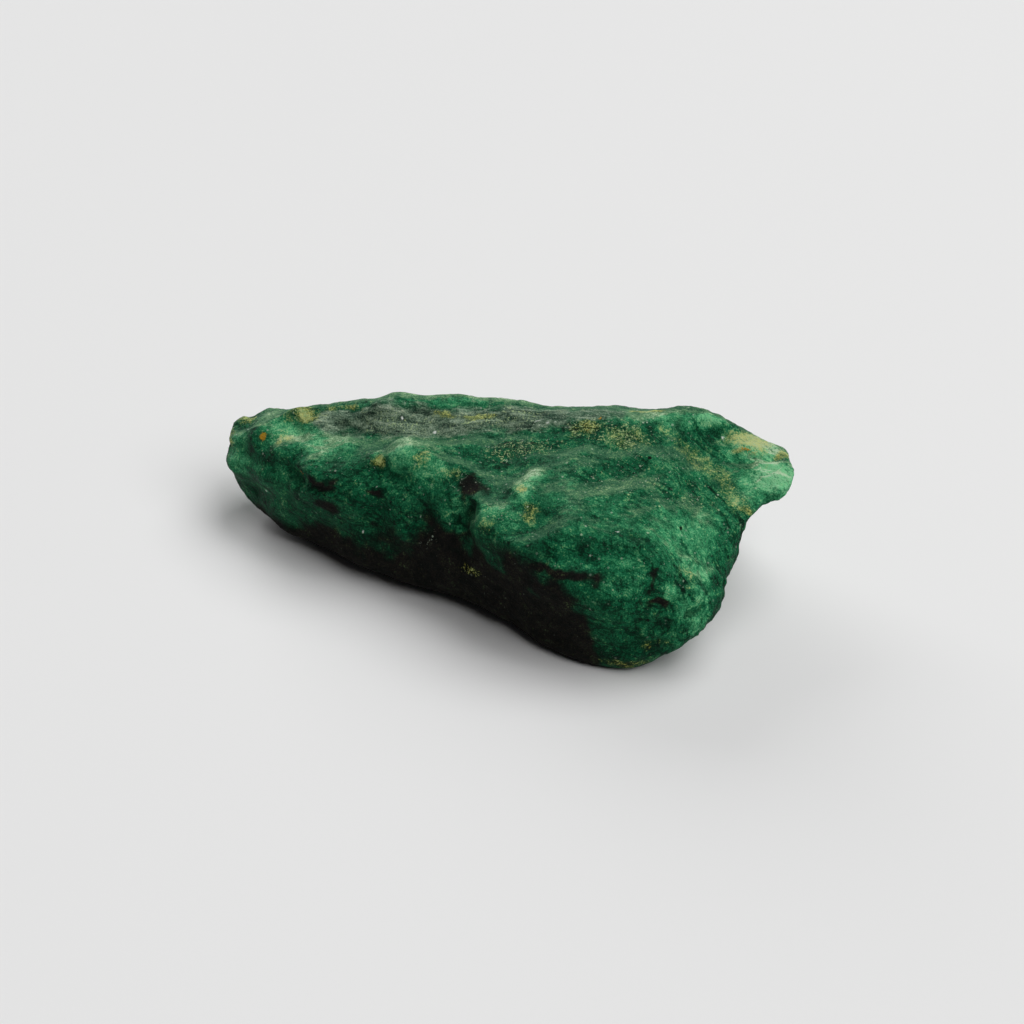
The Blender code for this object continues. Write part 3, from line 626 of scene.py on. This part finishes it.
class Recipe:
    """A material's nodes."""

    def __init__(self, name):
        self.material = bpy.data.materials.new(name)
        self.material.use_nodes = True
        self.tree = self.material.node_tree
        self.tree.nodes.clear()

    def node(self, kind, settings=None, sockets=None, output=0):
        """A node of one kind, its settings first, then the values or links of its sockets."""
        made = self.tree.nodes.new("ShaderNode" + kind)
        for name, value in (settings or {}).items():
            if name == "stops":
                self.set_stops(made.color_ramp, value)
            else:
                setattr(made, name, value)
        for key, value in (sockets or {}).items():
            if isinstance(value, Value):
                self.tree.links.new(value.socket, made.inputs[key])
            else:
                made.inputs[key].default_value = value
        return Value(self, made.outputs[output]) if made.outputs else None

    @staticmethod
    def set_stops(ramp, stops):
        """Colour stops as (position, (r, g, b))."""
        while len(ramp.elements) < len(stops):
            ramp.elements.new(1.0)
        for element, (position, colour) in zip(ramp.elements, stops):
            element.position = position
            element.color = (*colour, 1.0)

    def math(self, operation, first, second):
        return self.node("Math", {"operation": operation}, {0: first, 1: second})

    def highest(self, first, second):
        return self.math("MAXIMUM", first, second)

    def clamp(self, value):
        return self.node("Clamp", None, {"Value": value})

    def edge(self, value, low, high):
        """0 at low, 1 at high, smooth between and level beyond."""
        settings = {"interpolation_type": "SMOOTHSTEP", "clamp": True}
        return self.node("MapRange", settings, {"Value": value, "From Min": low, "From Max": high})

    def ramp(self, value, stops):
        """The colour at a value along a row of colour stops."""
        return self.node("ValToRGB", {"stops": stops}, {0: value})

    def mix(self, share, first, second):
        """Two colours mixed; a colour is a triple or a Value."""
        settings = {"data_type": "RGBA", "clamp_factor": True}
        first, second = (c if isinstance(c, Value) else (*c, 1.0) for c in (first, second))
        return self.node("Mix", settings, {0: share, 6: first, 7: second}, output=2)

    def shift(self, vector, offset):
        return self.node("VectorMath", {"operation": "ADD"}, {0: vector, 1: offset})

    def stretch(self, vector, factors):
        return self.node("VectorMath", {"operation": "MULTIPLY"}, {0: vector, 1: factors})

    def shares(self, name):
        """The three numbers of one of the stone's attributes."""
        attribute = self.node("Attribute", {"attribute_name": name})
        return [self.channel(attribute, k) for k in range(3)]

    def channel(self, colour, index):
        """One of a colour's three numbers."""
        return self.node("SeparateColor", None, {0: colour}, output=index)

    def cloud(self, vector, size, detail, roughness, seed):
        """Soft noise from 0 to 1, about the given size in the vector's own units."""
        moved = self.shift(vector, (seed * 3.7, seed * 1.3, seed * 2.9))
        sockets = {"Vector": moved, "Scale": 1.0 / size, "Detail": detail, "Roughness": roughness}
        return self.node("TexNoise", None, sockets)

    def grains(self, vector, size, seed, output="Distance"):
        """Scattered grains: the distance from the nearest centre in grain sizes, or a colour for each grain."""
        moved = self.shift(vector, (seed * 2.3, seed * 3.1, seed * 1.7))
        return self.node("TexVoronoi", None, {"Vector": moved, "Scale": 1.0 / size}, output=output)

    def painted_glints(self, vector, size, share, seed):
        """Painted glints: single bright grains, one in each cube of the given size, of which a share shows. Each
        has its own size and brightness."""
        chance = self.grains(vector, size, seed, output="Color")
        key, reach, level = (self.channel(chance, k) for k in range(3))
        spot = self.edge(self.grains(vector, size, seed), 0.26 + reach * 0.18, 0.16)
        return (key < share) * spot * (0.25 + level * level * 0.75)


# Colours, as stops of (position, (r, g, b)) or as a single (r, g, b).
GREENS = (
    (0.00, (0.001, 0.016, 0.007)), (0.20, (0.004, 0.048, 0.020)), (0.40, (0.022, 0.104, 0.052)),
    (0.60, (0.068, 0.188, 0.090)), (0.78, (0.150, 0.300, 0.150)), (1.00, (0.440, 0.620, 0.400)),
)
CLEAR_GREENS = (
    (0.00, (0.001, 0.012, 0.006)), (0.25, (0.001, 0.044, 0.018)), (0.50, (0.004, 0.120, 0.048)),
    (0.78, (0.044, 0.305, 0.130)), (1.00, (0.165, 0.530, 0.250)),
)
OLIVES = (
    (0.00, (0.006, 0.012, 0.003)), (0.25, (0.048, 0.072, 0.013)), (0.45, (0.125, 0.175, 0.045)),
    (0.70, (0.275, 0.340, 0.115)), (1.00, (0.480, 0.520, 0.230)),
)
GREY_SCHIST = (
    (0.00, (0.012, 0.022, 0.017)), (0.28, (0.052, 0.086, 0.062)), (0.50, (0.120, 0.190, 0.125)),
    (0.74, (0.240, 0.330, 0.235)), (1.00, (0.460, 0.530, 0.400)),
)
BLACK_SCHIST = (
    (0.00, (0.002, 0.003, 0.002)), (0.36, (0.007, 0.008, 0.007)), (0.56, (0.015, 0.012, 0.010)),
    (0.76, (0.020, 0.036, 0.025)), (1.00, (0.120, 0.130, 0.105)),
)
OCHRE = (0.290, 0.245, 0.030)
YELLOW = (0.480, 0.540, 0.190)
ORANGE = (0.600, 0.230, 0.008)
# Painted shade in the hollows.
HOLLOW_SHADE_GREEN = (0.001, 0.012, 0.006)
# Mica: the flakes' own pale colour, brightened into a painted glint.
MICA_GLINT = (0.460, 0.560, 0.430)
MICA_GLINT_YELLOW = (0.450, 0.590, 0.270)
BLACK = (0.003, 0.004, 0.003)
WHITE = (0.72, 0.76, 0.70)
PAPER_DARK = (0.795, 0.795, 0.795)
PAPER_LIGHT = (0.815, 0.815, 0.812)

# Patterns: size in millimetres, layers of detail, how strong the fine layers are, and the place in the noise.
BROAD = (3.4, 2.0, 0.5, 1.0)
MIDDLE = (1.0, 3.0, 0.6, 2.0)
FINE = (0.30, 3.0, 0.7, 3.0)
GRIT = (0.11, 2.0, 0.6, 4.0)
THREAD = (0.34, 4.0, 0.65, 5.0)
LENS = (0.95, 2.0, 0.5, 6.0)
SWIRL = (1.5, 3.0, 0.6, 9.0)
CROWD = (0.8, 3.0, 0.7, 7.0)
FLAKE = (0.17, 4.0, 0.75, 8.0)
# Larger mica faces, each painted as one glint.
LARGE_FLAKE = 0.30      # cubes that hold one larger mica face each
PAPER = (0.09, 3.0, 0.5, 1.0)   # in metres
# How much longer each pattern is along the beds: threads, lenses and swirls.
ALONG_THREADS, ALONG_LENSES, ALONG_SWIRLS = (0.13, 1.0, 1.0), (0.30, 1.0, 1.0), (0.4, 1.0, 1.0)

CRYSTAL_IOR, CRYSTAL_SHINE = 1.57, 0.04
ROCK_IOR, ROCK_SHINE = 1.5, 0.03
GLOW = 0.2              # share of the light that spreads inside the crystal
GLOW_REACH = 0.0003
GLOW_RADIUS = (0.35, 1.0, 0.55)
BUMP_HEIGHT = 0.0002


def stone_material():
    """Emerald with pale beryl, schist, stain and mica, all mixed into one stone, with painted light and shade in
    its colour: a paler, greyer top as painted sheen, a darker front, lighter ridges, darkened hollows and
    painted glints on the mica. In each sum the number beside a pattern says how strongly that pattern shows, and
    edge() turns the sum into a share."""
    shader = Recipe("emerald in schist")
    mm = shader.stretch(shader.node("TexCoord", output="Object"), (1.0 / MM, 1.0 / MM, 1.0 / MM))
    beds = shader.node("Attribute", {"attribute_name": "beds"}, output="Vector")
    pale, schist, stain = shader.shares("zones")
    clear, brown, proud = shader.shares("marks")
    face_up, glitter, chipped = shader.shares("lies")
    orange, white, black = shader.shares("grains")

    broad, middle, fine, grit = (shader.cloud(mm, *pattern) - 0.5 for pattern in (BROAD, MIDDLE, FINE, GRIT))
    thread = shader.cloud(shader.stretch(beds, ALONG_THREADS), *THREAD) - 0.5
    lens = shader.cloud(shader.stretch(beds, ALONG_LENSES), *LENS)
    swirl = shader.cloud(shader.stretch(beds, ALONG_SWIRLS), *SWIRL) - 0.5

    # How light the stone is, from ink to milk: the mottling, the pale beryl, then painted light and shade by how
    # a point stands and faces.
    tone = 0.45 + broad * 0.4 + middle * (0.6 + chipped * 0.35) + fine * 0.7 + grit * 0.9
    tone = tone + thread * 0.28 * face_up
    tone = tone + shader.edge(pale + middle * 0.6, 0.05, 1.0) * 0.30 + shader.edge(pale, 0.86, 1.0) * 0.19
    # Painted light and shade: ridges lighter and hollows darker by how far a point stands out, the top paler and
    # the front darker by how far it faces up. Brown schist is darker in itself.
    tone = tone + (proud - 0.5) * 0.12 + (face_up - 0.7) * 0.16 - brown * 0.20
    # Dark lenses, and veins where the swirls cross their middle.
    dark = shader.edge(lens + fine * 0.3, 0.42, 0.30) * (0.06 + clear * 0.18 + chipped * 0.10)
    vein = shader.edge(swirl * swirl, 0.0012, 0.0) * shader.highest(chipped, clear * 0.7)
    tone = tone - (dark + vein * 0.30) * (1.0 - pale * 0.4) - clear * clear * glitter * 0.18
    clear = shader.edge(clear + middle * 0.9 + thread * 0.4, 0.15, 0.85)
    green = shader.mix(clear * 0.95, shader.ramp(tone, GREENS), shader.ramp(tone, CLEAR_GREENS))

    # Schist: grey and streaked on top, black and brown on the front.
    # Painted light and shade on the schist too: lighter where a point stands out.
    streak = 0.46 + thread * 1.9 + grit * 1.2 + fine * 0.4 + middle * 0.4 + (proud - 0.5) * 0.2
    dim = 0.42 + middle * 0.9 + fine * 0.8 + grit
    brown = shader.edge(brown, 0.02, 0.25)
    rock = shader.mix(brown, shader.ramp(streak, GREY_SCHIST), shader.ramp(dim, BLACK_SCHIST))
    ragged = schist + middle + (thread * 0.9 + fine * 0.5) * (1.0 - brown * 0.7)
    schist = shader.edge(ragged, 0.15, 0.90)
    colour = shader.mix(schist, green, rock)

    # Iron stain: an olive wash with ochre and yellow crumbs in it; then painted shade, dark green in the
    # hollows.
    washed = shader.edge(stain * 1.1 + middle * 0.9 + fine * 1.3 + grit * 1.3, 0.12, 0.98)
    colour = shader.mix(washed * 0.95, colour, shader.ramp(tone - brown * 0.1, OLIVES))
    crumbs = shader.edge(stain + middle * 0.7 + grit * 3.2 + fine * 2.0, 0.66, 1.15)
    crumbs = crumbs * shader.edge(stain, 0.02, 0.30)
    rust = shader.mix(shader.edge(middle + fine, -0.2, 0.2), OCHRE, YELLOW)
    colour = shader.mix(crumbs * 0.75, colour, rust)
    # Painted shade: hollows darkened towards dark green.
    colour = shader.mix(shader.edge(proud, 0.36, 0.05) * 0.5, colour, HOLLOW_SHADE_GREEN)

    # Mica: painted glints of bright flakes in loose crowds and of a few larger faces alone, stronger on top.
    crowd = shader.edge(shader.cloud(mm, *CROWD) + (glitter - 0.5) * 0.30, 0.36, 0.64)
    flakes = shader.cloud(mm, *FLAKE) + crowd * (0.04 + glitter * 0.07) - (brown + clear) * 0.022
    painted_glint = shader.edge(flakes + face_up * 0.006, 0.62, 0.71)
    faces = 0.04 + crowd * 0.12 + face_up * 0.04 - brown * 0.05
    painted_glint = shader.highest(painted_glint, shader.painted_glints(mm, LARGE_FLAKE, faces, 1.0))
    warmth = middle + fine + (stain + glitter) * 0.35 - brown * 0.30
    glint_colour = shader.mix(shader.edge(warmth, 0.02, 0.26), MICA_GLINT, MICA_GLINT_YELLOW)
    # Painted glints go into the colour, stronger where the stone faces up.
    colour = shader.mix(painted_glint * (0.30 + face_up * 0.5), colour, glint_colour)

    # Single grains and marks.
    grain = shader.edge(orange + fine * 1.2 + grit * 1.2, 0.20, 0.70) * shader.edge(orange, 0.0, 0.15)
    colour = shader.mix(grain, colour, shader.mix(fine * 2.0 + 0.5, OCHRE, ORANGE))
    colour = shader.mix(shader.edge(white + fine * 0.6, 0.25, 0.75), colour, WHITE)
    colour = shader.mix(shader.edge(black, 0.25, 0.75), colour, BLACK)

    height = fine * 0.45 + grit * 0.45 + thread * 0.25
    bump = shader.node("Bump", None, {"Strength": 1.0, "Distance": BUMP_HEIGHT, "Height": height})
    rough = shader.clamp(0.62 + fine * 0.6 - clear * 0.10 - painted_glint * 0.25)
    crystal = shader.node("BsdfPrincipled", None, {
        "Base Color": colour, "Roughness": rough, "Normal": bump,
        "IOR": CRYSTAL_IOR, "Specular IOR Level": CRYSTAL_SHINE,
        "Subsurface Weight": GLOW, "Subsurface Radius": GLOW_RADIUS, "Subsurface Scale": GLOW_REACH,
    })
    dull = shader.node("BsdfPrincipled", None, {
        "Base Color": colour, "Roughness": shader.clamp(rough + 0.12), "Normal": bump,
        "IOR": ROCK_IOR, "Specular IOR Level": ROCK_SHINE,
    })
    both = shader.node("MixShader", None, {0: schist, 1: crystal, 2: dull})
    shader.node("OutputMaterial", None, {"Surface": both})
    return shader.material


def floor_material():
    """Matt pale paper, very faintly mottled."""
    shader = Recipe("pale paper")
    tone = shader.cloud(shader.node("TexCoord", output="Object"), *PAPER)
    colour = shader.mix(tone, PAPER_DARK, PAPER_LIGHT)
    sockets = {"Base Color": colour, "Roughness": 0.9, "Specular IOR Level": 0.2}
    shader.node("OutputMaterial", None, {"Surface": shader.node("BsdfPrincipled", None, sockets)})
    return shader.material


# ---------------------------------------------------------------------------------------------------------------
# Studio
# ---------------------------------------------------------------------------------------------------------------

FLOOR_REACH = 3000.0    # half the floor's side, in millimetres

# Round softboxes: name, azimuth from +X towards +Y, elevation, and power in watts.
SOFTBOXES = (
    ("right softbox", -45.0, 50.0, 12.1), ("top softbox", 30.0, 65.0, 11.8), ("back softbox", 120.0, 20.0, 13.2),
)
SOFTBOX_DISTANCE = 1.5  # in metres, as is its width
SOFTBOX_WIDTH = 1.2
SKY_COLOUR = (0.97, 0.985, 1.0, 1.0)
SKY_STRENGTH = 0.02

LENS_LENGTH = 109.83
SENSOR_WIDTH = 36.0
CLIP_START, CLIP_END = 0.01, 20.0
CAMERA_TARGET = (0.527, -0.227, 6.0)    # in millimetres, as is its distance
CAMERA_DISTANCE = 220.0
CAMERA_RISE = 35.0


def floor():
    """One flat square under the stone, far wider than the view."""
    across = np.array(((-1.0, -1.0), (1.0, -1.0), (1.0, 1.0), (-1.0, 1.0))) * FLOOR_REACH
    points = np.concatenate([across, np.zeros((4, 1))], axis=1)
    made = new_mesh("studio_floor", points, [np.array([[0, 1, 2, 3]])])
    made.data.materials.append(floor_material())


def softbox(name, azimuth, elevation, power):
    """A round softbox that looks at the stone."""
    light = bpy.data.lights.new(name, "AREA")
    light.shape = "DISK"
    light.size = SOFTBOX_WIDTH
    light.energy = power
    made = bpy.data.objects.new(name, light)
    turn, rise = math.radians(azimuth), math.radians(elevation)
    away = Vector((math.cos(turn) * math.cos(rise), math.sin(turn) * math.cos(rise), math.sin(rise)))
    made.location = away * SOFTBOX_DISTANCE
    made.rotation_euler = away.to_track_quat("Z", "Y").to_euler()
    bpy.context.scene.collection.objects.link(made)


def studio():
    """Three broad round softboxes, high on the right, nearly overhead and low behind, and hardly any light from
    elsewhere."""
    world = bpy.data.worlds.new("studio")
    world.use_nodes = True
    background = world.node_tree.nodes["Background"]
    background.inputs["Color"].default_value = SKY_COLOUR
    background.inputs["Strength"].default_value = SKY_STRENGTH
    bpy.context.scene.world = world
    for row in SOFTBOXES:
        softbox(*row)
    bpy.context.scene.view_settings.view_transform = "Standard"


def camera():
    """Looks along +Y, from CAMERA_RISE degrees above the floor down onto the stone."""
    lens = bpy.data.cameras.new("camera")
    lens.lens = LENS_LENGTH
    lens.sensor_width = SENSOR_WIDTH
    lens.clip_start = CLIP_START
    lens.clip_end = CLIP_END
    made = bpy.data.objects.new("camera", lens)
    rise = math.radians(CAMERA_RISE)
    away = Vector((0.0, -math.cos(rise), math.sin(rise)))
    made.location = Vector(CAMERA_TARGET) * MM + away * CAMERA_DISTANCE * MM
    made.rotation_euler = (math.pi / 2.0 - rise, 0.0, 0.0)
    bpy.context.scene.collection.objects.link(made)
    bpy.context.scene.camera = made


crystal = stone(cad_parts["emerald_rough"])
crystal.data.materials.append(stone_material())
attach(crystal, "root")
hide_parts("emerald_rough")
floor()
studio()
camera()
